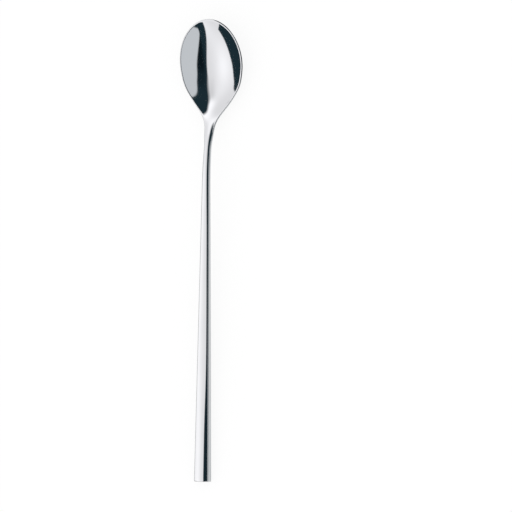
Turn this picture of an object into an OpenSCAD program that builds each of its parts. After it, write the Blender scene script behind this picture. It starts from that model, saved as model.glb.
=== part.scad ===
// Iced tea spoon: a pressed oval bowl on a long tapering bar handle.
// The spoon lies bowl up on a table at z = 0. The bowl's tip points to +Y, X runs across,
// and the origin is under the middle of the spoon.

/* [Spoon] */
// Length from the bowl's tip to the handle's flat end
overall_len = 220; // [190:1:260]

/* [Bowl] */
// Width of the bowl across its rim
bowl_w = 31.5; // [27:0.2:36]
// Distance from the tip to the bowl's widest point
tip_to_widest = 21.1; // [18:0.1:25]
// Depth of the hollow below the rim at the widest point
bowl_depth = 5.6; // [4:0.05:7]
// Thickness of the bowl's wall
bowl_wall = 1.4; // [1:0.05:2]
// Width of the flat land on top of the rim
rim_land = 0.6; // [0.4:0.05:1]
// Height of the upright face outside the rim
rim_edge = 1.15; // [0.6:0.05:1.2]
// Rounding between the land and the upright face
rim_r = 0.3; // [0.2:0.05:0.5]
// How far the rim dips below the line of the bar's upper edges
rim_dip = 6; // [4.5:0.1:7]
// Distance from the tip to where the bar's upper edges start to run straight
tip_to_straight = 84; // [76:0.5:95]

/* [Neck] */
// Distance from the tip to the butt joint in the neck
tip_to_joint = 63.3; // [58:0.1:70]
// Width of the neck at the butt joint
neck_w = 3.25; // [2.6:0.05:5]
// Thickness of the neck at the butt joint
neck_thick = 2.6; // [2.2:0.05:4]
// Height of the line of the bar's upper edges above the table, at the butt joint
neck_h = 11.05; // [9:0.05:13]

/* [Handle] */
// Width of the handle at its flat end
end_w = 7.2; // [5:0.1:10]
// Thickness of the handle at its flat end
end_thick = 5.4; // [3.5:0.1:7]
// Rounding of the long upper edges
edge_r = 0.2; // [0.1:0.05:0.3]
// Rounding of the long lower edges
corner_r = 0.8; // [0.4:0.05:0.9]
// Rounding of the edges round the flat end
end_r = 0.4; // [0.2:0.05:0.8]

/* [Hidden] */

// How the flare from the neck out to the bowl's widest point falls off, at equal steps
flare_shares = [0.992, 1.004, 0.992, 0.958, 0.919, 0.839, 0.726, 0.594, 0.441,
                0.258, 0.127, 0.08, 0.06, 0.035, 0, 0, 0];
// How the hollow's depth falls off from the widest point to the neck, at the same steps
hollow_shares = [0.994, 1.003, 0.994, 0.944, 0.861, 0.769, 0.697, 0.6, 0.407,
                 0.174, 0.02, 0, 0, 0, 0, 0, 0];
// How the thin wall of the bowl grows into the solid bar, at the same steps
bar_shares = [0, 0, 0, 0, 0, 0, 0.02, 0.08, 0.2,
              0.38, 0.57, 0.74, 0.88, 0.96, 1, 1, 1];
// How the rim's dip goes down and comes up again, at equal steps from the tip to the straight
dip_shares = [-0.06, 0.11, 0.29, 0.485, 0.69, 0.885, 1.04, 1.1, 1.025,
              0.825, 0.555, 0.305, 0.125, 0.03, 0, 0, 0];
// Crown of the bar's top, as a share of its half width
crown_share = 0.22;
// How much of the hollow's curve is a plain bow, across the bowl and along it
cup_across_share = 1.16;
cup_along_share = 0.85;

// Counts of facets: down one side of the neck, round the tip, along the bar's curved start
// and its straight rest, and across
side_steps = 24;
tip_steps = 30;
curved_steps = 9;
straight_steps = 4;
hollow_steps = 9;
edge_steps = 3;
belly_steps = 9;
corner_steps = 5;
end_steps = 3;

bowl_half = bowl_w / 2;
handle_len = overall_len - tip_to_joint;
end_edge_h = end_thick - crown_share * end_w / 2;
across_steps = hollow_steps + edge_steps + belly_steps + 2;

function mix(a, b, share) = a + (b - a) * share;

// Smooth curve steered by evenly spaced values, one before the start and one past the end
function steered(v, i, t) =
    (pow(1 - t, 3) * v[i] + (3 * pow(t, 3) - 6 * t * t + 4) * v[i + 1]
     + (3 * (t + t * t - pow(t, 3)) + 1) * v[i + 2] + pow(t, 3) * v[i + 3]) / 6;

// Value at distance s of a table of shares whose equal steps run between two places
function share_at(v, s, first, last) =
    let (steps = len(v) - 3,
         along = min(max((s - first) / (last - first), 0), 1) * steps,
         i = min(floor(along), steps - 1))
    steered(v, i, along - i);
// The same for a table that runs from the widest point to the butt joint
function neck_share(v, s) = share_at(v, s, tip_to_widest, tip_to_joint);

// 0 in the bowl and 1 in the bar
function bar_share(s) = neck_share(bar_shares, s);

// Value on the straight line through a value at the joint and one at the handle's end
function bar_line(at_joint, at_end, s) =
    mix(at_joint, at_end, (s - tip_to_joint) / handle_len);

// Half of the width at distance s from the tip, for an outline drawn in by inset
function half_w(s, inset) =
    let (line = bar_line(neck_w / 2, end_w / 2, s))
    mix(line, bowl_half, neck_share(flare_shares, s)) - inset;

// Height of the rim and of the bar's upper edges
function rim_z(s) =
    bar_line(neck_h, end_edge_h, s) - rim_dip * share_at(dip_shares, s, 0, tip_to_straight);

// Rounding of the rim, which sharpens to that of the bar's upper edges
function edge_round(s) = mix(rim_r, edge_r, bar_share(s));
// Land inside the rim, which narrows to the rounded shoulder of the bar
function land(s) = mix(rim_land, 2 * edge_r, bar_share(s));
// Upright face below the rim, which also narrows to the shoulder
function edge(s) = mix(rim_edge, 2 * edge_r, bar_share(s));
// Depth of the hollow, rise of the crown and thickness, all on the middle line
function hollow(s) = bowl_depth * neck_share(hollow_shares, s);
function crown(s) = crown_share * bar_share(s) * half_w(s, 0);
function thick(s) = mix(bowl_wall, bar_line(neck_thick, end_thick, s), bar_share(s));
function belly(s) = hollow(s) - crown(s) + thick(s) - edge(s);

// Where a place lies between the middle and an outline, across and along
function across_at(x, s, inset) = abs(x) / half_w(s, inset);
function along_at(s, inset) = max(0, tip_to_widest - s) / (tip_to_widest - inset);

// Rise of a cup from 0 in its middle to 1 at its rim
function cup(across, along) =
    let (a = across * across,
         b = along * along)
    cup_across_share * a + cup_along_share * b
    + ((1 - cup_across_share) * a + (1 - cup_along_share) * b) * (a + b);

function top_z(x, s) =
    let (in_cup = cup(across_at(x, s, land(s)), along_at(s, land(s))),
         on_bar = across_at(x, s, edge_round(s)))
    rim_z(s) - hollow(s) * (1 - in_cup) + crown(s) * (1 - on_bar * on_bar);

// How far the bowl's underside hangs below the upright face
function belly_drop(x, s) = belly(s) * (1 - cup(across_at(x, s, 0), along_at(s, 0)));

// Point k of the bar's underside: round the lower edge first, then flat to the middle.
// It gives the distance from the middle, and the drop below the upright face.
function square_under(s, k) =
    let (a = 90 * (k - 1) / (corner_steps - 1))
    k <= corner_steps
        ? [half_w(s, corner_r * (1 - cos(a))), belly(s) - corner_r * (1 - sin(a))]
        : [half_w(s, corner_r) * (belly_steps - k) / (belly_steps - corner_steps), belly(s)];

// One place on the plan: a share of the way out from the middle line to the outline.
// Beside the neck the angle is 90 or -90; between them it turns round the tip.
function plan(s, angle, share, inset) =
    let (reach = s > tip_to_widest ? 0 : tip_to_widest - inset)
    [share * half_w(s, inset) * sin(angle), s - share * reach * cos(angle)];

function on_top(p) = [p[0], p[1], top_z(p[0], p[1])];
function below_rim(p, drop) = [p[0], p[1], rim_z(p[1]) - drop];

// Point k of the underside: round in the bowl, square in the bar, and between them in the neck
function under(s, angle, k) =
    let (p = plan(s, angle, max(0, cos(90 * k / belly_steps)), 0),
         square = square_under(p[1], k),
         b = bar_share(p[1]),
         x = mix(p[0], square[0] * sin(angle), b),
         drop = mix(belly_drop(p[0], p[1]), square[1], b))
    below_rim([x, p[1]], edge(p[1]) + drop);

// Points of half a section, from the middle of the top over the edge to the middle below
function rib(s, angle) = [
    for (k = [0:hollow_steps])
        on_top(plan(s, angle, k / hollow_steps, land(s))),
    for (k = [0:edge_steps])
        let (a = 90 * k / edge_steps,
             r = edge_round(s))
        below_rim(plan(s, angle, 1, r * (1 - sin(a))), r * (1 - cos(a))),
    below_rim(plan(s, angle, 1, 0), edge(s)),
    for (k = [1:belly_steps])
        under(s, angle, k)
];

// Stations of the bowl: down one side from the joint, round the tip and back
side_stations = [for (i = [0:side_steps])
    mix(tip_to_joint, tip_to_widest, i / side_steps)];
stations = concat(
    [for (s = side_stations) [s, 90]],
    [for (i = [1:tip_steps - 1]) [tip_to_widest, 90 - 180 * i / tip_steps]],
    [for (i = [side_steps:-1:0]) [side_stations[i], -90]]);
station_count = len(stations);

// The two halves share the points of the middle line, and the tip has one middle point
function spine_index(i) = min(i, station_count - 1 - i, side_steps);
function bowl_index(i, k) =
    k == 0 ? spine_index(i)
    : k == across_steps ? side_steps + 1 + spine_index(i)
    : 2 * (side_steps + 1) + i * (across_steps - 1) + k - 1;

ribs = [for (t = stations) rib(t[0], t[1])];
bowl_points = concat(
    [for (i = [0:side_steps]) ribs[i][0]],
    [for (i = [0:side_steps]) ribs[i][across_steps]],
    [for (r = ribs, k = [1:across_steps - 1]) r[k]]);

// Two triangles for a four-cornered face, leaving out any whose corners coincide
function triangles(a, b, c, d) = [
    for (t = [[a, c, b], [a, d, c]])
        if (t[0] != t[1] && t[1] != t[2] && t[2] != t[0]) t
];

bowl_skin = [
    for (i = [0:station_count - 2], k = [0:across_steps - 1])
        each triangles(bowl_index(i, k), bowl_index(i, k + 1),
                       bowl_index(i + 1, k + 1), bowl_index(i + 1, k))
];
bowl_cut = [
    for (k = [0:across_steps]) bowl_index(0, k),
    for (k = [across_steps - 1:-1:1]) bowl_index(station_count - 1, k)
];

// A whole section of the handle, drawn in by inset for the rounding of its end
function ring(s, inset) =
    let (half = rib(s, 90),
         low = half[across_steps][2],
         high = half[0][2],
         middle = (low + high) / 2,
         in_x = 1 - inset / half_w(s, 0),
         in_z = 1 - 2 * inset / (high - low))
    [for (side = [1, -1])
        for (k = side == 1 ? [0:across_steps] : [across_steps - 1:-1:1])
            [side * half[k][0] * in_x, half[k][1], middle + (half[k][2] - middle) * in_z]];

handle_rings = concat(
    [for (i = [0:curved_steps - 1]) [mix(tip_to_joint, tip_to_straight, i / curved_steps), 0]],
    [for (i = [0:straight_steps])
        [mix(tip_to_straight, overall_len - end_r, i / straight_steps), 0]],
    [for (i = [1:end_steps])
        let (a = 90 * i / end_steps)
        [overall_len - end_r * (1 - sin(a)), end_r * (1 - cos(a))]]);
ring_size = 2 * across_steps;
last_ring = len(handle_rings) - 1;

handle_points = [for (r = handle_rings) each ring(r[0], r[1])];
handle_skin = [
    for (i = [0:last_ring - 1], k = [0:ring_size - 1])
        let (next = (k + 1) % ring_size)
        each triangles(i * ring_size + k, (i + 1) * ring_size + k,
                       (i + 1) * ring_size + next, i * ring_size + next)
];
handle_cut = [for (k = [ring_size - 1:-1:0]) k];
handle_end = [for (k = [0:ring_size - 1]) last_ring * ring_size + k];

// The spoon stands on the lowest of all its points
lift = -min([for (p = concat(bowl_points, handle_points)) p[2]]);
function placed(points) = [
    for (p = points) [p[0], overall_len / 2 - p[1], p[2] + lift]
];

// Pressed bowl with the neck that rises out of it, up to the butt joint
module bowl() {
    color("silver")
        polyhedron(placed(bowl_points), concat(bowl_skin, [bowl_cut]), convexity = 4);
}

// Solid bar from the butt joint to the flat end
module handle() {
    color("lightgray")
        polyhedron(placed(handle_points),
                   concat(handle_skin, [handle_cut, handle_end]),
                   convexity = 4);
}

bowl();
handle();
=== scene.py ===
"""Iced tea spoon of polished stainless steel, lying bowl up on a white studio table.

The spoon is two pieces, a pressed bowl and a solid bar handle that meet in the neck. Both
are pressed from flat sheets to the curves of one SpoonForm, whose overall sizes come from
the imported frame. Lengths in the form are in millimetres, measured from the bowl's tip.
"""

import logging
import math
from dataclasses import dataclass
from enum import Enum
from typing import Callable, Sequence

import bpy
from mathutils import Matrix, Vector

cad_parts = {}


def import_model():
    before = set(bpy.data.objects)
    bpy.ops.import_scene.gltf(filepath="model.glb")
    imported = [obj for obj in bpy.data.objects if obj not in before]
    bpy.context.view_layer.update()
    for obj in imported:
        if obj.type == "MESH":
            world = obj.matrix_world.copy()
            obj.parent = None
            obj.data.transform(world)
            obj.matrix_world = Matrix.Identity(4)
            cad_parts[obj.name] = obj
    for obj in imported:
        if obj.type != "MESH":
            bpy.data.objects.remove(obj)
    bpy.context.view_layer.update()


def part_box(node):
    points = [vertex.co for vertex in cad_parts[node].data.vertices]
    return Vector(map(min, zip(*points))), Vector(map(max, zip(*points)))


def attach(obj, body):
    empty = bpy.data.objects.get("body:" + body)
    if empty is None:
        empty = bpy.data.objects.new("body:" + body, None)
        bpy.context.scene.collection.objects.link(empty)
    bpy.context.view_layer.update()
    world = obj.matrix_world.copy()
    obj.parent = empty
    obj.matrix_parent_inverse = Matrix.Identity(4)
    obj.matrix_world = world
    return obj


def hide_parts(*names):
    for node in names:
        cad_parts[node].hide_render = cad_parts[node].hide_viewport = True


LOG = logging.getLogger("iced_tea_spoon")
MM = 0.001
RIGHT_ANGLE = math.pi / 2
BODY = "root"

Colour = tuple[float, float, float, float]


class Side(Enum):
    """Which half of the spoon a place lies in, seen from above with the tip up."""

    RIGHT = 1
    LEFT = -1


class End(Enum):
    """Which end of the spoon a direction leans towards."""

    BOWL = 1
    HANDLE = -1


def mix(a: float, b: float, share: float) -> float:
    """Value that lies the given share of the way from a to b."""
    return a + (b - a) * share


def smooth_min(a: float, b: float, reach: float) -> float:
    """Lower of two values, rounded off where they differ by less than reach."""
    near = max(reach - abs(a - b), 0.0)
    return min(a, b) - near * near / (4.0 * reach)


@dataclass(frozen=True)
class SteeredCurve:
    """Smooth curve through a stretch, steered by values at equal steps.

    The first value lies one step before the stretch and the last one step past it.
    """

    start: float
    end: float
    values: tuple[float, ...]

    def at(self, place: float) -> float:
        """Value of the curve at a place, held at its ends outside the stretch.

        Args:
            place: Distance in the same units as start and end.

        Returns:
            The value of a uniform cubic B-spline.
        """
        steps = len(self.values) - 3
        share = min(max((place - self.start) / (self.end - self.start), 0.0), 1.0)
        first = min(int(share * steps), steps - 1)
        t = share * steps - first
        weights = (
            (1 - t) ** 3,
            3 * t ** 3 - 6 * t * t + 4,
            3 * (t + t * t - t ** 3) + 1,
            t ** 3,
        )
        return sum(w * v for w, v in zip(weights, self.values[first:first + 4])) / 6


@dataclass(frozen=True)
class SpoonForm:
    """Curves that the whole spoon is pressed to, in millimetres from the bowl's tip.

    In the methods s is the distance from the tip and x that from the middle line.

    Attributes:
        tip_to_joint: Distance to the joint of bowl and handle.
        tip_to_widest: Distance to the widest point.
        tip_to_straight: Distance to where the bar's edges run straight.
        bowl_depth: Greatest depth of the hollow below the rim.
        bowl_wall: Thickness of the pressed bowl.
        rim_land: Width of the rim, from the outline to the crease.
        rim_edge: Height of the upright face below the rim.
        crease_reach: How softly the hollow meets the rim.
        lip_tilt: Slope of the rim's lip, up and out, in degrees.
        rim_dip: Drop of the rim where the dip's value is one.
        neck_width: Width at the joint.
        neck_thick: Thickness at the joint.
        neck_height: Height of the upper edges at the joint.
        end_width: Width at the handle's end.
        end_thick: Thickness at the handle's end.
        rim_round: Radius of the rim's upper edge.
        tip_round: What that radius gains at the tip.
        tip_land: What the rim's width gains at the tip.
        tip_trim: What the outline loses at the tip.
        bar_round: Radius of the bar's upper edges.
        corner_round: Radius of the bar's lower edges.
        end_round: Radius of the edges of the handle's end.
        shoulder_tilt: Slope of the crown at the bar's edges, in degrees.
        cup_across: Steepness of the hollow near its middle, across the bowl.
        cup_along: The same towards the tip.
        flare_values: Way from the bar's width to the bowl's, widest point to joint.
        hollow_values: Share of the bowl's depth, widest point to joint.
        bar_values: How far the section is a bar's, widest point to joint.
        dip_values: Share of the rim's dip, tip to straight bar.
        fullness_values: Fullness of the crown, joint to handle's end.
    """

    length: float
    bowl_width: float
    tip_to_joint: float
    tip_to_widest: float = 21.1
    tip_to_straight: float = 84.0
    bowl_depth: float = 5.6
    bowl_wall: float = 1.34
    rim_land: float = 0.6
    rim_edge: float = 1.15
    crease_reach: float = 0.1
    lip_tilt: float = 14.0
    rim_dip: float = 6.0
    neck_width: float = 3.25
    neck_thick: float = 2.6
    neck_height: float = 11.01
    end_width: float = 7.2
    end_thick: float = 5.4
    rim_round: float = 0.3
    tip_round: float = 0.32
    tip_land: float = 0.27
    tip_trim: float = 0.4
    bar_round: float = 0.42
    corner_round: float = 0.6
    end_round: float = 0.4
    shoulder_tilt: float = 24.0
    cup_across: float = 1.16
    cup_along: float = 0.85
    flare_values: tuple[float, ...] = (
        0.992, 1.004, 0.992, 0.958, 0.919, 0.837, 0.713, 0.57, 0.411,
        0.248, 0.127, 0.071, 0.051, 0.03, 0.0, 0.0, 0.0,
    )
    hollow_values: tuple[float, ...] = (
        0.994, 1.003, 0.994, 0.944, 0.861, 0.769, 0.69, 0.585, 0.385,
        0.174, 0.02, 0.0, 0.0, 0.0, 0.0, 0.0, 0.0,
    )
    bar_values: tuple[float, ...] = (
        0.0, 0.0, 0.0, 0.0, 0.0, 0.0, 0.02, 0.08, 0.2,
        0.38, 0.57, 0.74, 0.88, 0.96, 1.0, 1.0, 1.0,
    )
    dip_values: tuple[float, ...] = (
        -0.06, 0.11, 0.29, 0.485, 0.69, 0.885, 1.045, 1.135, 1.145,
        0.875, 0.51, 0.275, 0.12, 0.03, 0.0, 0.0, 0.0,
    )
    fullness_values: tuple[float, ...] = (
        -0.11, -0.11, -0.09, 0.0, 0.16, 0.21, 0.26, 0.36, 0.4,
        0.4, 0.28, 0.07, -0.03, -0.06, -0.1, -0.1,
    )

    @classmethod
    def from_frame(cls) -> "SpoonForm":
        """Form whose length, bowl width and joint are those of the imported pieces.

        Returns:
            The form, with its other sizes as named here.
        """
        bowl_low, bowl_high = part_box("bowl")
        handle_low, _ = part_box("handle")
        return cls(
            length=(bowl_high.y - handle_low.y) / MM,
            bowl_width=(bowl_high.x - bowl_low.x) / MM,
            tip_to_joint=(bowl_high.y - bowl_low.y) / MM,
        )

    def _neck_curve(self, values: tuple[float, ...]) -> SteeredCurve:
        """Curve from the bowl's widest point to the joint."""
        return SteeredCurve(self.tip_to_widest, self.tip_to_joint, values)

    def bar_line(self, at_joint: float, at_end: float, s: float) -> float:
        """Value at s on the straight line through one at the joint and one at the end."""
        handle = self.length - self.tip_to_joint
        return mix(at_joint, at_end, (s - self.tip_to_joint) / handle)

    def half_width(self, s: float) -> float:
        """Half of the spoon's width, past the bowl's widest point.

        Args:
            s: Distance from the tip.

        Returns:
            The half width, which before the widest point stays as it is there.
        """
        line = self.bar_line(self.neck_width / 2, self.end_width / 2, s)
        flare = self._neck_curve(self.flare_values).at(s)
        return mix(line, self.bowl_width / 2, flare)

    def bar_share(self, s: float) -> float:
        """Zero in the thin bowl, one in the solid bar."""
        return self._neck_curve(self.bar_values).at(s)

    def fullness(self, s: float) -> float:
        """How far the crown's curve is gathered towards the bar's edges."""
        return SteeredCurve(self.tip_to_joint, self.length, self.fullness_values).at(s)

    def shoulder(self, s: float) -> float:
        """Slope of the crown at the rounded edge, down and out."""
        return math.tan(math.radians(self.shoulder_tilt) * self.bar_share(s))

    def lip_slope(self, s: float) -> float:
        """Slope of the lip inside the rounded rim, up and out."""
        return math.tan(math.radians(self.lip_tilt)) * (1 - self.bar_share(s))

    def tilt(self, s: float) -> float:
        """Angle at which the top meets the edge rounding, in radians."""
        return math.atan(self.shoulder(s) - self.lip_slope(s))

    @property
    def tip_reach(self) -> float:
        """Length of the bowl's end, from its widest point to the tip."""
        return self.tip_to_widest - self.tip_trim

    def tipward(self, x: float, s: float) -> float:
        """How much a place lies towards the tip, seen from the middle of the bowl.

        Args:
            x: Distance from the middle line.
            s: Distance from the tip.

        Returns:
            Zero at the sides and in the very middle, and one at the tip.
        """
        along = max(0.0, self.tip_to_widest - s) / self.tip_reach
        away = math.hypot(x / self.half_width(s), along)
        return along / away if away > 0 else 0.0

    def edge_round(self, s: float, tipward: float = 0.0) -> float:
        """Radius between the top and the upright face."""
        rim = self.rim_round + self.tip_round * tipward ** 2
        return mix(rim, self.bar_round, self.bar_share(s))

    def edge_inset(self, s: float, tipward: float = 0.0) -> float:
        """How far in from the outline the edge rounding starts."""
        return self.edge_round(s, tipward) * (1 - math.sin(self.tilt(s)))

    def crown(self, s: float) -> float:
        """Rise of the bar's top over its edges, on the middle line."""
        flank = self.half_width(s) - self.edge_inset(s)
        return flank * self.shoulder(s) / (2 + 2 * self.fullness(s))

    def rim_height(self, s: float) -> float:
        """Height of the rim and of the bar's upper edges.

        Args:
            s: Distance from the tip.

        Returns:
            The height above the table, on a straight line less the rim's dip.
        """
        end_edge = self.end_thick - self.crown(self.length)
        line = self.bar_line(self.neck_height, end_edge, s)
        dip = SteeredCurve(0.0, self.tip_to_straight, self.dip_values).at(s)
        return line - self.rim_dip * dip

    def land(self, s: float, tipward: float = 0.0) -> float:
        """Distance from the outline to the crease where the hollow starts."""
        rim = self.rim_land + self.tip_land * tipward ** 2
        return mix(rim, 2 * self.bar_round, self.bar_share(s))

    def edge_face(self, s: float) -> float:
        """Height of the upright face below the rim, before the underside turns in."""
        return mix(self.rim_edge, 2 * self.bar_round, self.bar_share(s))

    def hollow(self, s: float) -> float:
        """Depth of the hollow below the rim, on the middle line."""
        return self.bowl_depth * self._neck_curve(self.hollow_values).at(s)

    def belly(self, s: float) -> float:
        """Drop of the underside below the upright face, on the middle line.

        Args:
            s: Distance from the tip.

        Returns:
            What the hollow, less the crown, and the wall or bar need below the face.
        """
        bar = self.bar_line(self.neck_thick, self.end_thick, s)
        thick = mix(self.bowl_wall, bar, self.bar_share(s))
        return self.hollow(s) - self.crown(s) + thick - self.edge_face(s)

    def cup(self, x: float, s: float, inset: float) -> float:
        """Rise of the cup at a place, as a share of its depth.

        Args:
            x: Distance from the middle line.
            s: Distance from the tip.
            inset: Distance from the outline in to the cup's rim.

        Returns:
            Zero in the cup's middle and one at its rim.
        """
        across = x / (self.half_width(s) - inset)
        along = max(0.0, self.tip_to_widest - s) / (self.tip_reach - inset)
        a, b = across * across, along * along
        bow = self.cup_across * a + self.cup_along * b
        return bow + ((1 - self.cup_across) * a + (1 - self.cup_along) * b) * (a + b)

    def lip(self, x: float, s: float) -> float:
        """Drop of the lip, which slopes in from the edge rounding to the crease.

        Args:
            x: Distance from the middle line.
            s: Distance from the tip.

        Returns:
            How far the lip lies below the top of the rim.
        """
        half, tipward = self.half_width(s), self.tipward(x, s)
        along = max(0.0, self.tip_to_widest - s) / self.tip_reach
        reach = mix(half, self.tip_reach, tipward ** 2) * (1 - math.hypot(x / half, along))
        inset = min(reach, self.land(s, tipward)) - self.edge_inset(s, tipward)
        turned_in = self.edge_round(s, tipward) * (1 - math.cos(min(self.tilt(s), 0.0)))
        return turned_in + inset * self.lip_slope(s)

    def top(self, x: float, s: float) -> float:
        """Height of the upper surface at a place inside the edge rounding.

        Args:
            x: Distance from the middle line.
            s: Distance from the tip.

        Returns:
            Height above the table, hollow, crease, land and crown included.
        """
        sunk = -self.hollow(s) * (1 - self.cup(x, s, self.land(s, self.tipward(x, s))))
        t = x / (self.half_width(s) - self.edge_inset(s))
        full = self.fullness(s)
        arch = 1 - (1 - full) * t * t - full * t ** 4
        dished = smooth_min(sunk, 0.0, self.crease_reach) if self.hollow(s) > 0 else 0.0
        return self.rim_height(s) + dished - self.lip(x, s) + self.crown(s) * arch


@dataclass(frozen=True)
class Lanes:
    """How finely half a section is divided, from the top's middle to the underside's.

    The first eight are numbers of lanes, in order.

    Attributes:
        turn_share: Share of the underside at which the turn below the face ends.
        corner_share: Share of the underside at which the lower corner ends.
        crease_width: How far inside the crease its lanes start, in millimetres.
        crease_stop: Share of the lip at which they stop.
    """

    hollow: int = 44
    crease: int = 10
    land: int = 4
    edge: int = 6
    face: int = 3
    turn: int = 5
    corner: int = 8
    belly: int = 20
    turn_share: float = 0.1
    corner_share: float = 0.5
    crease_width: float = 0.3
    crease_stop: float = 0.5


@dataclass(frozen=True)
class Place:
    """A place on the plan, a share of the way out from the middle to an outline.

    Attributes:
        s: Distance from the tip, or that of the widest point while the angle turns.
        angle: Way out: a right angle is to the right, its negative to the left, and
            angles between them turn round the tip.
        share: Share of the way out.
        inset: Distance of the outline inside the spoon's own.
    """

    s: float
    angle: float
    share: float
    inset: float = 0.0

    def on(self, form: SpoonForm) -> tuple[float, float]:
        """Place on a spoon of the given form.

        Args:
            form: Curves of the spoon.

        Returns:
            Distance from the middle line, with its sign, and distance from the tip.
        """
        reach = 0.0 if self.s > form.tip_to_widest else form.tip_reach - self.inset
        half = form.half_width(self.s) - self.inset
        x = self.share * half * math.sin(self.angle)
        return x, self.s - self.share * reach * math.cos(self.angle)


@dataclass(frozen=True)
class Section:
    """Points of half a section of the spoon, from the middle of the top round to below."""

    form: SpoonForm
    lanes: Lanes

    def points(self, s: float, angle: float) -> list[Vector]:
        """All points of the half section, each as x, distance from the tip, and height.

        Args:
            s: Distance from the tip, or that of the widest point while the angle turns.
            angle: Way out on the plan, in radians; a right angle is the right side.

        Returns:
            The points in order, from the middle of the top to the middle of the underside.
        """
        return [*self._top(s, angle), *self._edge(s, angle), *self._under(s, angle)]

    def _top(self, s: float, angle: float) -> list[Vector]:
        """Points of the hollow or crown, the crease and the lip.

        Args:
            s: Distance from the tip.
            angle: Way out on the plan, in radians.

        Returns:
            The points from the middle to the edge rounding.
        """
        form, lanes = self.form, self.lanes
        tipward = math.cos(angle)
        land, inner = form.land(s, tipward), form.edge_inset(s, tipward)
        start = min(form.half_width(s), land + lanes.crease_width)
        stop = mix(land, inner, lanes.crease_stop)
        places = [Place(s, angle, k / lanes.hollow, start) for k in range(lanes.hollow)]
        for first, last, count in ((start, stop, lanes.crease), (stop, inner, lanes.land)):
            places += [Place(s, angle, 1, mix(first, last, k / count)) for k in range(count)]
        found = [place.on(form) for place in places]
        return [Vector((x, along, form.top(x, along))) for x, along in found]

    def _edge(self, s: float, angle: float) -> list[Vector]:
        """Points of the edge rounding and the upright face.

        Args:
            s: Distance from the tip.
            angle: Way out on the plan, in radians.

        Returns:
            The points from the top down to the start of the turn below the face.
        """
        form, lanes = self.form, self.lanes
        tilt, r = form.tilt(s), form.edge_round(s, math.cos(angle))
        top = r * math.cos(max(tilt, 0.0))
        points = []
        for k in range(lanes.edge + 1):
            turned = mix(tilt, RIGHT_ANGLE, k / lanes.edge)
            x, along = Place(s, angle, 1, r * (1 - math.sin(turned))).on(form)
            drop = top - r * math.cos(turned)
            points.append(Vector((x, along, form.rim_height(along) - drop)))
        x, along = Place(s, angle, 1).on(form)
        rim, low = form.rim_height(along), form.edge_face(along)
        for k in range(1, lanes.face):
            points.append(Vector((x, along, rim - mix(top, low, k / (lanes.face + 1)))))
        return points

    def _below(self, s: float, angle: float, share: float) -> Vector:
        """Point of the underside: round in the bowl, square in the bar, between in the neck.

        Args:
            s: Distance from the tip.
            angle: Way out on the plan, in radians.
            share: Share of the way in, from the outline to the middle.

        Returns:
            The point, as x, distance from the tip, and height.
        """
        form, lanes = self.form, self.lanes
        x, along = Place(s, angle, math.cos(share * RIGHT_ANGLE)).on(form)
        belly, bar = form.belly(along), form.bar_share(along)
        drop = belly * (1 - form.cup(x, along, 0.0))
        half, r = form.half_width(along), form.corner_round
        if share <= lanes.turn_share:
            flat_x, flat_drop = half, (belly - r) * share / lanes.turn_share
        elif share <= lanes.corner_share:
            part = (share - lanes.turn_share) / (lanes.corner_share - lanes.turn_share)
            flat_x = half - r * (1 - math.cos(part * RIGHT_ANGLE))
            flat_drop = belly - r * (1 - math.sin(part * RIGHT_ANGLE))
        else:
            flat_x = (half - r) * (1 - share) / (1 - lanes.corner_share)
            flat_drop = belly
        x = mix(x, flat_x * math.sin(angle), bar)
        drop = mix(drop, flat_drop, bar)
        return Vector((x, along, form.rim_height(along) - form.edge_face(along) - drop))

    def _under(self, s: float, angle: float) -> list[Vector]:
        """Points of the turn below the upright face, the corner and the belly.

        Args:
            s: Distance from the tip.
            angle: Way out on the plan, in radians.

        Returns:
            The points from the upright face to the middle of the underside.
        """
        lanes = self.lanes
        x, along = Place(s, angle, 1).on(self.form)
        face = self.form.edge_face(along)
        corner = Vector((x, along, self.form.rim_height(along) - face))
        begin = corner + Vector((0, 0, face / (lanes.face + 1)))
        end = self._below(s, angle, lanes.turn_share)
        points = []
        for k in range(lanes.turn):
            t = k / lanes.turn
            points.append(begin * (1 - t) ** 2 + corner * 2 * t * (1 - t) + end * t * t)
        stretches = (
            (lanes.turn_share, lanes.corner_share, lanes.corner),
            (lanes.corner_share, 1.0, lanes.belly),
        )
        for first, last, count in stretches:
            points += [self._below(s, angle, mix(first, last, k / count)) for k in range(count)]
        return [*points, self._below(s, angle, 1.0)]


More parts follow.
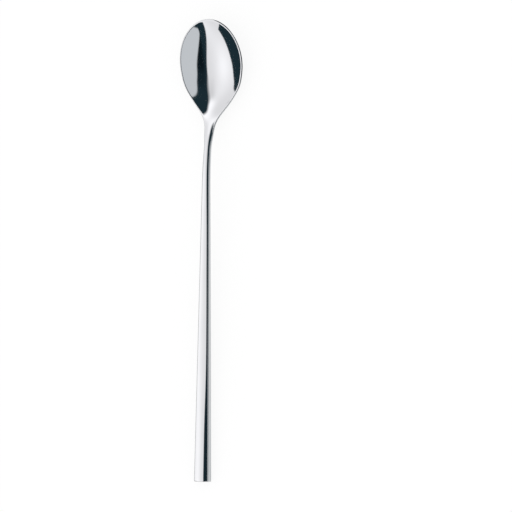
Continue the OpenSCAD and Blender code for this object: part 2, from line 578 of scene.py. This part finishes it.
@dataclass(frozen=True)
class SheetPress:
    """Presses a flat sheet into a closed steel piece, and finishes its mesh.

    Attributes:
        form: Curves of the spoon, which say where it lies in the frame.
        weld: Distance in metres at which two points are one.
        sharp_from: Angle in degrees from which an edge is drawn sharp.
    """

    form: SpoonForm
    weld: float = 0.0002 * MM
    sharp_from: float = 40.0

    def placed(self, point: Vector) -> Vector:
        """Place in the frame, in metres, of a point given from the bowl's tip."""
        return Vector((point.x, self.form.length / 2 - point.y, point.z)) * MM

    def press(self, name: str, rows: Sequence[Sequence[Vector]]) -> bpy.types.Object:
        """Adds a flat sheet, presses each of its crossings to its place and closes it.

        Args:
            name: Name of the new piece.
            rows: Places of the crossings, row by row, given from the bowl's tip.

        Returns:
            The closed piece, with its faces turned outwards.
        """
        bpy.ops.object.select_all(action="DESELECT")
        bpy.ops.mesh.primitive_grid_add(
            x_subdivisions=len(rows[0]) - 1,
            y_subdivisions=len(rows) - 1,
            size=self.form.length * MM,
        )
        piece = bpy.context.active_object
        piece.name = name
        piece.data.name = name
        pressed = [self.placed(point) for row in rows for point in row]
        for vertex, place in zip(piece.data.vertices, pressed, strict=True):
            vertex.co = place
        self._close()
        return piece

    def _close(self) -> None:
        """Welds the active sheet's seams, covers its ends and turns its faces outwards."""
        bpy.ops.object.mode_set(mode="EDIT")
        bpy.ops.mesh.select_all(action="SELECT")
        bpy.ops.mesh.remove_doubles(threshold=self.weld)
        bpy.ops.mesh.select_all(action="DESELECT")
        bpy.ops.mesh.select_mode(type="EDGE")
        bpy.ops.mesh.select_non_manifold()
        bpy.ops.mesh.edge_face_add()
        bpy.ops.mesh.select_mode(type="VERT")
        bpy.ops.mesh.select_all(action="SELECT")
        bpy.ops.mesh.normals_make_consistent(inside=False)
        bpy.ops.object.mode_set(mode="OBJECT")
        bpy.ops.object.shade_smooth_by_angle(angle=math.radians(self.sharp_from))


@dataclass(frozen=True)
class Wire:
    """A shader value that Python's arithmetic works on, one Math node for each operation."""

    board: "Board"
    socket: bpy.types.NodeSocket

    def _join(self, operation: str, *values: "Wire | float") -> "Wire":
        """Adds a Math node for an operation on the given values."""
        settings = {"operation": operation}
        return self.board.node("ShaderNodeMath", settings, dict(enumerate(values))).out(0)

    def __add__(self, other: "Wire | float") -> "Wire":
        """Sum."""
        return self._join("ADD", self, other)

    def __radd__(self, other: float) -> "Wire":
        """Sum with a number before it."""
        return self._join("ADD", other, self)

    def __sub__(self, other: "Wire | float") -> "Wire":
        """Difference."""
        return self._join("SUBTRACT", self, other)

    def __rsub__(self, other: float) -> "Wire":
        """Difference from a number."""
        return self._join("SUBTRACT", other, self)

    def __mul__(self, other: "Wire | float") -> "Wire":
        """Product."""
        return self._join("MULTIPLY", self, other)

    def __rmul__(self, other: float) -> "Wire":
        """Product with a number before it."""
        return self._join("MULTIPLY", other, self)

    def __truediv__(self, other: "Wire | float") -> "Wire":
        """Quotient."""
        return self._join("DIVIDE", self, other)

    def __rtruediv__(self, other: float) -> "Wire":
        """Quotient of a number by it."""
        return self._join("DIVIDE", other, self)

    def root(self) -> "Wire":
        """Square root."""
        return self._join("SQRT", self)

    def exp(self) -> "Wire":
        """Exponential."""
        return self._join("EXPONENT", self)

    def angle_to(self, other: "Wire") -> "Wire":
        """Angle in degrees whose tangent is this value over the other."""
        return self._join("ARCTAN2", self, other) * math.degrees(1)

    def larger(self, other: "Wire | float") -> "Wire":
        """Larger of the two values."""
        return self._join("MAXIMUM", self, other)

    def kept(self) -> "Wire":
        """The value kept between zero and one."""
        settings = {"clamp_type": "MINMAX"}
        return self.board.node("ShaderNodeClamp", settings, {0: self}).out(0)

    def step(self, edge: "Wire | float", soft: "Wire | float") -> "Wire":
        """Zero below an edge and one above it, with a soft change between them."""
        return ((self - edge) / soft + 0.5).kept()

    def band(self, low: float, high: float, soft: float) -> "Wire":
        """One between two edges and zero outside them."""
        return self.step(low, soft) * (1 - self.step(high, soft))


@dataclass(frozen=True)
class NodeUse:
    """A node on the board, with its outputs as wires."""

    board: "Board"
    node: bpy.types.Node

    def out(self, name: int | str) -> Wire:
        """Wire from the named or numbered output."""
        return Wire(self.board, self.node.outputs[name])


class Board:
    """A node tree that is laid from Python."""

    BLEND_FROM = 6
    BLEND_TO = 7
    BLEND_OUT = 2

    def __init__(self, tree: bpy.types.NodeTree) -> None:
        """Empties the tree and keeps it."""
        self.tree = tree
        tree.nodes.clear()

    def node(
        self,
        kind: str,
        settings: dict[str, object] | None = None,
        inputs: dict[int | str, object] | None = None,
    ) -> NodeUse:
        """Adds a node, sets it and feeds its inputs.

        Args:
            kind: Type of the node.
            settings: Attributes of the node, set first.
            inputs: Values or wires by socket name or number.

        Returns:
            The node, ready to give its outputs.
        """
        made = self.tree.nodes.new(kind)
        for name, value in (settings or {}).items():
            setattr(made, name, value)
        for name, value in (inputs or {}).items():
            if isinstance(value, Wire):
                self.tree.links.new(value.socket, made.inputs[name])
            else:
                made.inputs[name].default_value = value
        return NodeUse(self, made)

    def split(self, vector: Wire) -> tuple[Wire, Wire, Wire]:
        """The x, y and z of a vector."""
        parts = self.node("ShaderNodeSeparateXYZ", inputs={"Vector": vector})
        return parts.out("X"), parts.out("Y"), parts.out("Z")

    def blend(self, share: Wire, a: Wire | Colour, b: Wire | Colour) -> Wire:
        """Colour between two others.

        Args:
            share: Zero for the first colour and one for the second.
            a: First colour.
            b: Second colour.

        Returns:
            The blended colour.
        """
        settings = {"data_type": "RGBA"}
        feeds = {"Factor": share, self.BLEND_FROM: a, self.BLEND_TO: b}
        return self.node("ShaderNodeMix", settings, feeds).out(self.BLEND_OUT)

    def finish(self, kind: str, shader: Wire) -> None:
        """Ends the tree in an output node of the given type."""
        self.node(kind, inputs={"Surface": shader})


def grey(level: float) -> Colour:
    """Neutral colour of one linear level."""
    return (level, level, level, 1.0)


@dataclass(frozen=True)
class PolishedSteel:
    """Mirror-polished stainless steel with faint traces of the polishing wheel, and a painted
    highlight that makes the bar a little brighter.

    Attributes:
        colour: Colour of the bowl.
        bar_highlight_colour: Colour of the bar, a brighter copy of the bowl's steel: a painted
            highlight.
        worn_colour: Colour where the polish is least.
        bowl_from: Place along the spoon where the bowl's colour takes over.
        roughness: Least roughness.
        roughness_range: What the roughness gains where the polish is least.
        cloud_share: Share of the clouds in the polish; the wheel's lines have the rest.
        line_stretch: Scale of the lines in each direction, drawn out along the spoon.
    """

    name: str = "mirror polished stainless steel"
    colour: Colour = (0.6, 0.6, 0.605, 1.0)
    bar_highlight_colour: Colour = (0.64, 0.64, 0.64, 1.0)
    worn_colour: Colour = (0.57, 0.575, 0.585, 1.0)
    bowl_from: float = 45.0 * MM
    bowl_soft: float = 12.0 * MM
    roughness: float = 0.045
    roughness_range: float = 0.03
    cloud_scale: float = 90.0
    cloud_share: float = 0.5
    line_scale: float = 2600.0
    line_detail: float = 3.0
    line_stretch: tuple[float, float, float] = (1.0, 0.12, 1.0)

    def _wear(self, board: Board, place: Wire) -> Wire:
        """Where the polish is least.

        Args:
            board: Node tree of the material.
            place: Object coordinates.

        Returns:
            Zero where the polish is best and one where it is least.
        """
        clouds = board.node(
            "ShaderNodeTexNoise", inputs={"Vector": place, "Scale": self.cloud_scale}
        ).out(0)
        stretched = board.node(
            "ShaderNodeMapping", inputs={"Vector": place, "Scale": self.line_stretch}
        ).out(0)
        lines = board.node(
            "ShaderNodeTexNoise",
            inputs={"Vector": stretched, "Scale": self.line_scale, "Detail": self.line_detail},
        ).out(0)
        return (clouds * self.cloud_share + lines * (1 - self.cloud_share)).kept()

    def make(self) -> bpy.types.Material:
        """Builds the material.

        Returns:
            A material on Object coordinates.
        """
        material = bpy.data.materials.new(self.name)
        material.use_nodes = True
        board = Board(material.node_tree)
        place = board.node("ShaderNodeTexCoord").out("Object")
        wear = self._wear(board, place)
        _, along, _ = board.split(place)
        in_bowl = along.step(self.bowl_from, self.bowl_soft)
        # Painted highlight: the bar's steel is drawn a little brighter than the bowl's.
        clean_with_bar_highlight = board.blend(in_bowl, self.bar_highlight_colour, self.colour)
        metal = board.node(
            "ShaderNodeBsdfPrincipled",
            inputs={
                "Base Color": board.blend(wear, clean_with_bar_highlight, self.worn_colour),
                "Metallic": 1.0,
                "Roughness": wear * self.roughness_range + self.roughness,
            },
        ).out(0)
        board.finish("ShaderNodeOutputMaterial", metal)
        return material


@dataclass(frozen=True)
class WhiteTable:
    """Matt white table that keeps the spoon's soft shadow.

    It is white to the eye. Only the steel's reflection sees the painted shade on it, a dark
    patch beside the bowl and beyond its tip and a grey patch along each side of the handle,
    and the painted light of a band from the spoon's right outline, which glows though it is no
    lamp.

    Attributes:
        eye_level: Brightness of the plain white that the eye sees mixed in.
        eye_share: Share of that plain white.
        bowl_from: Place along the spoon where the painted dark shade begins and the painted
            grey shade ends.
        painted_shade_right: Left edge of the painted dark shade beside the bowl.
        painted_shade_beyond: Near edge of the painted dark shade beyond the tip.
        painted_shade_left: Left edge of the painted dark shade beyond the tip.
        grey_shade_from: Distance of the painted grey shade from the middle line.
        soft: Softness of the painted shade's edges.
        corner_soft: Softness of the left edge beyond the tip.
        strip_edge: Right outline of the bar at the middle of the spoon.
        strip_taper: What the outline gains along the spoon.
        painted_light_share: Share of the painted light that glows in the band past the right
            outline, seen only in the steel's reflection.
    """

    name: str = "white table"
    side: float = 6.0
    height: float = -0.02 * MM
    level: float = 0.93
    eye_level: float = 1.02
    eye_share: float = 0.85
    bowl_from: float = 45.0 * MM
    # Painted shade, seen only in the steel's reflection: a dark patch beside the bowl and
    # beyond the tip.
    painted_shade_right: float = 16.0 * MM
    painted_shade_beyond: float = 113.0 * MM
    painted_shade_left: float = -8.0 * MM
    painted_shade_level: float = 0.03
    # Painted grey shade, seen only in the steel's reflection, along each side of the handle.
    grey_shade_from: float = 8.5 * MM
    grey_shade_level: float = 0.22
    soft: float = 5.0 * MM
    corner_soft: float = 10.0 * MM
    # Painted light: a band of the table past the spoon's right outline glows, for the steel's
    # reflection alone, though it is no lamp.
    strip_edge: float = 2.3 * MM
    strip_taper: float = -0.0128
    strip_soft: float = 0.5 * MM
    painted_light_share: float = 0.55
    painted_light_colour: Colour = (0.99, 1.03, 1.05, 1.0)

    def _painted_dark_shade(self, x: Wire, y: Wire) -> Wire:
        """One on the painted dark shade and zero off it.

        Args:
            x: Place across the spoon.
            y: Place along the spoon.

        Returns:
            The painted dark shade's mask.
        """
        beside = x.step(self.painted_shade_right, self.soft) * y.step(self.bowl_from, self.soft)
        beyond = y.step(self.painted_shade_beyond, self.soft) * x.step(self.painted_shade_left, self.corner_soft)
        return beside.larger(beyond)

    def _painted_grey_shade(self, x: Wire, y: Wire) -> Wire:
        """One on the painted grey shade beside the handle and zero off it."""
        away = 1 - x.band(-self.grey_shade_from, self.grey_shade_from, self.soft)
        return away * (1 - y.step(self.bowl_from, self.soft))

    def _painted_light_band(self, x: Wire, y: Wire) -> Wire:
        """Mask of the painted light band: zero up to the spoon's right outline and one past it.
        """
        outline = y * self.strip_taper + self.strip_edge
        return ((x - outline) / self.strip_soft).kept()

    def _material(self) -> bpy.types.Material:
        """Builds the table's material.

        Returns:
            Matt white, with plain white for the eye, and painted shade and painted light for
            the mirror.
        """
        material = bpy.data.materials.new(self.name)
        material.use_nodes = True
        board = Board(material.node_tree)
        path = board.node("ShaderNodeLightPath")
        seen, mirrored = path.out("Is Camera Ray"), path.out("Is Glossy Ray")
        x, y, _ = board.split(board.node("ShaderNodeTexCoord").out("Object"))
        # Painted shade that only the steel's reflection sees: dark beside the bowl and beyond
        # the tip, grey along the handle.
        dark, flank = self._painted_dark_shade(x, y), self._painted_grey_shade(x, y)
        colour = board.blend(flank * mirrored, grey(self.level), grey(self.grey_shade_level))
        colour = board.blend(dark * mirrored, colour, grey(self.painted_shade_level))
        matt = board.node("ShaderNodeBsdfDiffuse", inputs={"Color": colour}).out(0)
        # Emission: plain white for the eye, and the painted light of the band for the steel's
        # reflection.
        white = board.blend(seen, self.painted_light_colour, grey(self.eye_level))
        lit = board.node("ShaderNodeEmission", inputs={"Color": white}).out(0)
        painted_light = self._painted_light_band(x, y) * (1 - dark.larger(flank)) * mirrored
        share = seen * self.eye_share + painted_light * self.painted_light_share
        mixed = board.node("ShaderNodeMixShader", inputs={0: share, 1: matt, 2: lit}).out(0)
        board.finish("ShaderNodeOutputMaterial", mixed)
        return material

    def make(self) -> bpy.types.Object:
        """Lays the table under the spoon.

        Returns:
            The table.
        """
        bpy.ops.object.select_all(action="DESELECT")
        bpy.ops.mesh.primitive_plane_add(size=self.side, location=(0, 0, self.height))
        table = bpy.context.active_object
        table.name = "table"
        table.data.materials.append(self._material())
        return table


@dataclass(frozen=True)
class Look:
    """A direction in degrees: its turn to the spoon's right and its lean to the bowl."""

    turn: Wire
    lean: Wire


@dataclass(frozen=True)
class Bend:
    """Curve in a panel's edge, which grows with the square of the way past its start.

    Attributes:
        towards: End of the spoon that the curve runs towards.
        start: Lean at which the curve starts.
        rate: Turn that it gains to the right for each square degree.
    """

    towards: End
    start: float
    rate: float

    def shift(self, look: Look) -> Wire:
        """How far the edge is moved to the right in a direction."""
        past = ((look.lean - self.start) * self.towards.value).larger(0.0)
        return past * past * self.rate


@dataclass(frozen=True)
class Edge:
    """Edge of a panel: the turn where it runs straight, and its bends."""

    turn: float
    bends: tuple[Bend, ...]

    def at(self, look: Look) -> Wire:
        """Turn of the edge in a direction."""
        return sum((bend.shift(look) for bend in self.bends), self.turn)


@dataclass(frozen=True)
class Glow:
    """A soft patch of light on the softbox's cloth, in degrees."""

    turn: float
    lean: float
    reach: float
    gain: float

    def on(self, look: Look) -> Wire:
        """Light that the patch adds in a direction."""
        across, along = look.turn - self.turn, look.lean - self.lean
        return ((across * across + along * along) * (-1 / self.reach ** 2)).exp() * self.gain


@dataclass(frozen=True)
class Softbox:
    """Large white cloth over the spoon's left side, with a dark gap at the far left.

    Attributes:
        right: Right edge of the cloth.
        sharp_to: Lean up to which that edge is sharp.
        softest_at: Lean from which it is softest.
        soft_shift: How far the soft stretch is moved to the left.
        gap_right: Right edge of the gap.
        gap_slant: Turn that the gap's edge gains with the lean.
        gap_near: Lean at which the gap starts.
        gap_far: Lean at which the gap ends.
        tint: Share of the brightness in red, green and blue.
    """

    right: Edge = Edge(3.5, (Bend(End.HANDLE, -18.0, -0.0113), Bend(End.BOWL, 48.0, -0.045)))
    sharp_to: float = -12.0
    softest_at: float = 22.0
    sharp: float = 3.0
    softest: float = 14.0
    soft_shift: float = 4.0
    gap_right: Edge = Edge(-75.0, (Bend(End.BOWL, 6.0, -0.07),))
    gap_slant: float = -0.1
    gap_near: float = -50.0
    gap_far: float = 16.0
    gap_soft: float = 1.2
    level: float = 1.18
    tint: tuple[float, float, float] = (1.0, 0.998, 1.015)
    glows: tuple[Glow, ...] = (
        Glow(-50.0, -16.0, 27.0, 0.4),
        Glow(-13.0, 50.0, 30.0, 0.5),
        Glow(-9.0, 13.0, 13.0, -0.25),
        Glow(-25.0, -75.0, 32.0, 0.22),
    )

    def mask(self, look: Look) -> Wire:
        """One on the cloth and zero off it.

        Args:
            look: Direction from the spoon.

        Returns:
            The cloth's mask, with the gap cut out of it.
        """
        rise = ((look.lean - self.sharp_to) / (self.softest_at - self.sharp_to)).kept()
        soft = rise * (self.softest - self.sharp) + self.sharp
        cloth = 1 - look.turn.step(self.right.at(look) - rise * self.soft_shift, soft)
        gap = look.lean.band(self.gap_near, self.gap_far, self.gap_soft)
        gap_right = self.gap_right.at(look) + look.lean * self.gap_slant
        return cloth * (1 - gap * (1 - look.turn.step(gap_right, self.gap_soft)))

    def colour(self, board: Board, look: Look) -> Wire:
        """Colour and brightness of the cloth.

        Args:
            board: Node tree of the world.
            look: Direction from the spoon.

        Returns:
            The cloth's light in that direction.
        """
        light = sum((glow.on(look) for glow in self.glows), self.level)
        tinted = {channel: light * gain for channel, gain in enumerate(self.tint)}
        return board.node("ShaderNodeCombineColor", inputs=tinted).out(0)


@dataclass(frozen=True)
class GreyCard:
    """Grey card over the spoon's right side, cut slantwise at its far end.

    Attributes:
        left: Left edge of the card.
        near: Lean at which it starts.
        far: Lean of the slant cut, straight above the spoon.
        slant: Lean that the cut gains with the turn.
    """

    left: Edge = Edge(
        27.0,
        (
            Bend(End.HANDLE, -15.0, -0.0086),
            Bend(End.HANDLE, -57.0, 0.08),
            Bend(End.BOWL, 6.0, 0.02),
        ),
    )
    right: float = 52.0
    near: float = -66.0
    far: float = -25.5
    slant: float = 1.6
    soft: float = 2.0
    colour: Colour = (0.88, 0.92, 0.955, 1.0)

    def mask(self, look: Look) -> Wire:
        """One on the card and zero off it.

        Args:
            look: Direction from the spoon.

        Returns:
            The card's mask.
        """
        across = look.turn.step(self.left.at(look), self.soft)
        across = across * (1 - look.turn.step(self.right, self.soft))
        cut = 1 - (look.lean - look.turn * self.slant).step(self.far, self.soft)
        return across * cut * look.lean.step(self.near, self.soft)


@dataclass(frozen=True)
class Studio:
    """Light of the studio: white to the eye, and panels in a dark room to the mirror.

    Attributes:
        deep: Colour of the room's deepest part, on the right.
        deep_turn: First turn, last turn and softness of that part.
        deep_lean: First lean, last lean and softness of that part.
        half_from: Lean from which that part is less deep.
        half_share: What its depth loses there.
    """

    softbox: Softbox = Softbox()
    card: GreyCard = GreyCard()
    dark: Colour = (0.018, 0.040, 0.053, 1.0)
    deep: Colour = (0.006, 0.014, 0.019, 1.0)
    deep_turn: tuple[float, float, float] = (10.0, 30.0, 8.0)
    deep_lean: tuple[float, float, float] = (-62.0, 8.0, 12.0)
    half_from: float = -14.0
    half_soft: float = 12.0
    half_share: float = 0.5

    def _room(self, board: Board, look: Look) -> Wire:
        """What the steel mirrors in a direction.

        Args:
            board: Node tree of the world.
            look: Direction from the spoon.

        Returns:
            The colour of the dark room, the cloth or the card.
        """
        shade = look.turn.band(*self.deep_turn) * look.lean.band(*self.deep_lean)
        shade = shade * (1 - look.lean.step(self.half_from, self.half_soft) * self.half_share)
        room = board.blend(shade, self.dark, self.deep)
        room = board.blend(self.softbox.mask(look), room, self.softbox.colour(board, look))
        return board.blend(self.card.mask(look), room, self.card.colour)

    def make(self) -> None:
        """Sets the world's light."""
        world = bpy.data.worlds.new("studio")
        bpy.context.scene.world = world
        world.use_nodes = True
        world.cycles.sampling_method = "NONE"
        board = Board(world.node_tree)
        x, y, z = board.split(board.node("ShaderNodeTexCoord").out("Generated"))
        look = Look(turn=x.angle_to(z), lean=y.angle_to((x * x + z * z).root()))
        mirrored = board.node("ShaderNodeLightPath").out("Is Glossy Ray")
        light = board.blend(mirrored, grey(1.0), self._room(board, look))
        lit = board.node("ShaderNodeBackground", inputs={"Color": light, "Strength": 1.0})
        board.finish("ShaderNodeOutputWorld", lit.out(0))


@dataclass(frozen=True)
class PhotoCamera:
    """Camera of the photograph, above the spoon and to its right.

    The side tilt is its angle from straight above, and the lean that of the spoon in the
    photograph, in degrees. The centre is the place on the table at the photograph's middle,
    in millimetres. The distance is in metres.
    """

    image_px: int = 512
    mm_per_px: float = 0.4747
    side_tilt: float = 20.0
    lean: float = 1.68
    distance: float = 2.4
    clip_ratio: float = 10.0
    sensor_mm: float = 36.0
    centre_x: float = 22.82
    centre_y: float = -1.98

    def make(self) -> bpy.types.Object:
        """Places the camera.

        Returns:
            The scene's camera.
        """
        data = bpy.data.cameras.new("photo camera")
        data.sensor_width = self.sensor_mm
        width = self.image_px * self.mm_per_px * MM
        data.lens = self.sensor_mm * self.distance / width
        data.clip_start = self.distance / self.clip_ratio
        data.clip_end = self.distance * self.clip_ratio
        camera = bpy.data.objects.new("photo camera", data)
        bpy.context.scene.collection.objects.link(camera)
        tilt = Matrix.Rotation(math.radians(self.side_tilt), 3, "Y")
        roll = Matrix.Rotation(math.radians(self.lean), 3, "Z")
        turned = tilt @ roll
        back = turned @ Vector((0, 0, 1))
        aim = Vector((self.centre_x, self.centre_y, 0)) * MM
        camera.matrix_world = Matrix.Translation(aim + back * self.distance) @ turned.to_4x4()
        bpy.context.scene.camera = camera
        return camera


@dataclass(frozen=True)
class Bowl:
    """Pressed oval bowl with the neck that rises out of it, up to the joint.

    Attributes:
        neck_rows: Rows along each side, from the joint to the widest point.
        tip_rows: Rows round the tip, from side to side.
    """

    form: SpoonForm
    lanes: Lanes
    neck_rows: int = 100
    tip_rows: int = 128

    def make(self) -> bpy.types.Object:
        """Presses the bowl from one folded sheet.

        Returns:
            The bowl, closed across the joint.
        """
        form = self.form
        beside = [
            mix(form.tip_to_joint, form.tip_to_widest, k / self.neck_rows)
            for k in range(self.neck_rows + 1)
        ]
        turns = [RIGHT_ANGLE * (1 - 2 * k / self.tip_rows) for k in range(1, self.tip_rows)]
        stations = [(s, RIGHT_ANGLE) for s in beside]
        stations += [(form.tip_to_widest, angle) for angle in turns]
        stations += [(s, -RIGHT_ANGLE) for s in reversed(beside)]
        section = Section(form, self.lanes)
        rows = [section.points(s, angle) for s, angle in stations]
        return SheetPress(form).press("bowl_steel", rows)


@dataclass(frozen=True)
class Handle:
    """Solid bar from the joint to the flat end, with a crowned top.

    Attributes:
        rows: Rings along the bar.
        end_rows: Rings in the rounding of its end.
    """

    form: SpoonForm
    lanes: Lanes
    rows: int = 160
    end_rows: int = 5

    def _ring(self, s: float, inset: float) -> list[Vector]:
        """Whole section of the bar, drawn in for the rounding of its end.

        Args:
            s: Distance from the tip.
            inset: How far the section is drawn in on every side.

        Returns:
            The points once round, from the middle of the top and down the right side.
        """
        half = Section(self.form, self.lanes).points(s, RIGHT_ANGLE)
        low, high = half[-1].z, half[0].z
        middle = (low + high) / 2
        narrower = 1 - inset / self.form.half_width(s)
        flatter = 1 - 2 * inset / (high - low)
        ring = []
        for side in Side:
            points = half if side is Side.RIGHT else list(reversed(half))
            for point in points:
                x = side.value * point.x * narrower
                ring.append(Vector((x, point.y, mix(middle, point.z, flatter))))
        return ring

    def make(self) -> bpy.types.Object:
        """Draws the bar out ring by ring.

        Returns:
            The handle, closed at the joint and at its end.
        """
        form = self.form
        start_of_end = form.length - form.end_round
        rings = [
            self._ring(mix(form.tip_to_joint, start_of_end, k / self.rows), 0.0)
            for k in range(self.rows + 1)
        ]
        for k in range(1, self.end_rows + 1):
            turned = RIGHT_ANGLE * k / self.end_rows
            inset = form.end_round * (1 - math.cos(turned))
            rings.append(self._ring(start_of_end + form.end_round * math.sin(turned), inset))
        return SheetPress(form).press("handle_steel", rings)


@dataclass(frozen=True)
class Spoon:
    """The whole spoon: its two pieces, dressed and tied to the frame."""

    form: SpoonForm
    steel: PolishedSteel

    def make(self) -> list[bpy.types.Object]:
        """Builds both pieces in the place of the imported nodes.

        Returns:
            The bowl and the handle.
        """
        lanes = Lanes()
        makers: dict[str, Callable[[], bpy.types.Object]] = {
            "bowl": Bowl(self.form, lanes).make,
            "handle": Handle(self.form, lanes).make,
        }
        material = self.steel.make()
        pieces = []
        for node, make in makers.items():
            piece = make()
            piece.data.materials.append(material)
            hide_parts(node)
            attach(piece, BODY)
            pieces.append(piece)
        return pieces


def main() -> None:
    """Loads the frame, builds the spoon round it and lights the scene."""
    logging.basicConfig(level=logging.INFO)
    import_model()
    form = SpoonForm.from_frame()
    LOG.info("length %.2f mm, bowl %.2f mm wide", form.length, form.bowl_width)
    for piece in [*Spoon(form, PolishedSteel()).make(), WhiteTable().make()]:
        LOG.info("%s: %d faces", piece.name, len(piece.data.polygons))
    Studio().make()
    PhotoCamera().make()
    bpy.context.scene.view_settings.view_transform = "Standard"
    bpy.context.view_layer.update()


if __name__ == "__main__":
    main()
